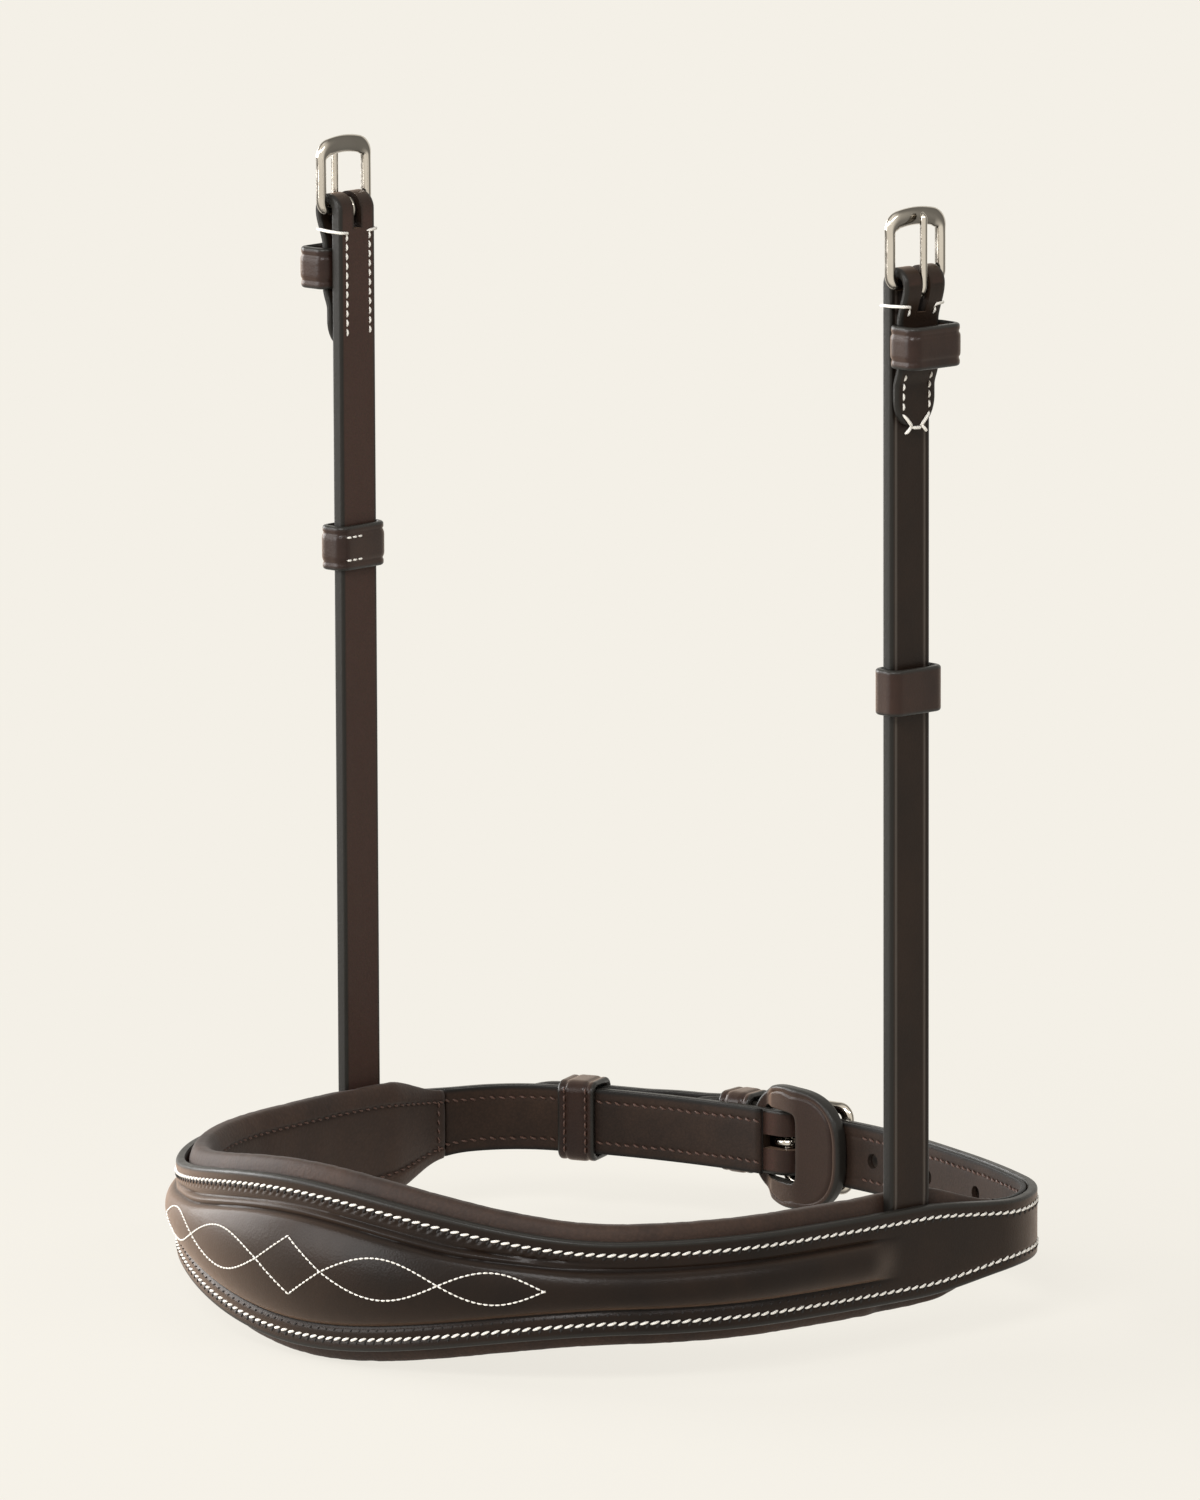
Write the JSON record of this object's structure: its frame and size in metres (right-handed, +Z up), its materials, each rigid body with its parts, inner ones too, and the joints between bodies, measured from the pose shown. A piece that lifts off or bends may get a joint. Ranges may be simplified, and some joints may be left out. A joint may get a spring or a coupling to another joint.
{
  "type": "cavesson noseband",
  "caption": "Padded, raised and fancy-stitched leather noseband with a padded nose, hanger straps that buckle to the cheeks, and a buckled, guarded strap under the jaw",
  "frame": {"origin": "middle of the loop in plan, at half the height of the band", "axes": "+Z up the horse's face, the nose front towards -Y, the jaw strap towards +Y, the horse's near (left) side towards +X"},
  "size_m": [0.2088, 0.1934, 0.2689],
  "materials": {
    "bridle_leather": "dark havana, waxed, dyed edges",
    "lining_leather": "soft matt",
    "foam": "open-cell padding, hidden",
    "felt_core": "felted core, hidden",
    "nickel": "polished nickel plate"
  },
  "bodies": {
    "band": {"nose_leather": "bridle_leather", "nose_filler": "felt_core", "pad_lining": "lining_leather", "pad_foam": "foam", "billet_lining": "lining_leather", "buckle_strap_lining": "lining_leather", "jaw_keeper": "bridle_leather", "near_hanger_tail": "bridle_leather", "off_hanger_tail": "bridle_leather"},
    "near_hanger": {"near_hanger_strap": "bridle_leather", "near_keeper": "bridle_leather"},
    "near_buckle": {"near_buckle_frame": "nickel"},
    "near_tongue": {"near_buckle_tongue": "nickel"},
    "near_runner": {"near_runner": "bridle_leather"},
    "off_hanger": {"off_hanger_strap": "bridle_leather", "off_keeper": "bridle_leather"},
    "off_buckle": {"off_buckle_frame": "nickel"},
    "off_tongue": {"off_buckle_tongue": "nickel"},
    "off_runner": {"off_runner": "bridle_leather"},
    "jaw_runner": {"jaw_runner": "bridle_leather"},
    "guard": {"buckle_guard": "bridle_leather"},
    "jaw_buckle": {"jaw_buckle_frame": "nickel", "jaw_buckle_tongue": "nickel"}
  },
  "joints": [
    {"name": "near_hanger_lean", "type": "hinge", "parent": "band", "child": "near_hanger", "pos_m": [0.09271, 0.01781, 0.015], "axis": [0.0589, 0.9983, 0], "range_deg": [-20, 30]},
    {"name": "near_buckle_swing", "type": "hinge", "parent": "near_hanger", "child": "near_buckle", "pos_m": [0.09575, 0.01763, 0.2287], "axis": [0.0589, 0.9983, 0], "range_deg": [-60, 45]},
    {"name": "near_tongue_swing", "type": "hinge", "parent": "near_buckle", "child": "near_tongue", "pos_m": [0.09575, 0.01763, 0.2287], "axis": [0.0589, 0.9983, 0], "range_deg": [0, 60]},
    {"name": "near_runner_slide", "type": "slide", "parent": "near_hanger", "child": "near_runner", "axis": [0, 0, 1], "range_m": [-0.1, 0.05]},
    {"name": "off_hanger_lean", "type": "hinge", "parent": "band", "child": "off_hanger", "pos_m": [-0.09271, 0.01781, 0.015], "axis": [0.0589, -0.9983, 0], "range_deg": [-20, 30]},
    {"name": "off_buckle_swing", "type": "hinge", "parent": "off_hanger", "child": "off_buckle", "pos_m": [-0.09575, 0.01763, 0.2287], "axis": [0.0589, -0.9983, 0], "range_deg": [-60, 45]},
    {"name": "off_tongue_swing", "type": "hinge", "parent": "off_buckle", "child": "off_tongue", "pos_m": [-0.09575, 0.01763, 0.2287], "axis": [0.0589, -0.9983, 0], "range_deg": [0, 60]},
    {"name": "off_runner_slide", "type": "slide", "parent": "off_hanger", "child": "off_runner", "axis": [0, 0, 1], "range_m": [-0.113, 0.036]},
    {"name": "jaw_runner_slip", "type": "hinge", "parent": "band", "child": "jaw_runner", "pos_m": [0, -0.1047, 0], "axis": [0, 0, 1], "range_deg": [-2.8, 0.3]},
    {"name": "guard_shift", "type": "slide", "parent": "band", "child": "guard", "axis": [-0.9983, -0.0582, 0], "range_m": [-0.0018, 0.0006]},
    {"name": "jaw_buckle_rock", "type": "hinge", "parent": "band", "child": "jaw_buckle", "pos_m": [-0.01793, 0.09099, 0], "axis": [0, 0, 1], "range_deg": [0, 4]}
  ]
}
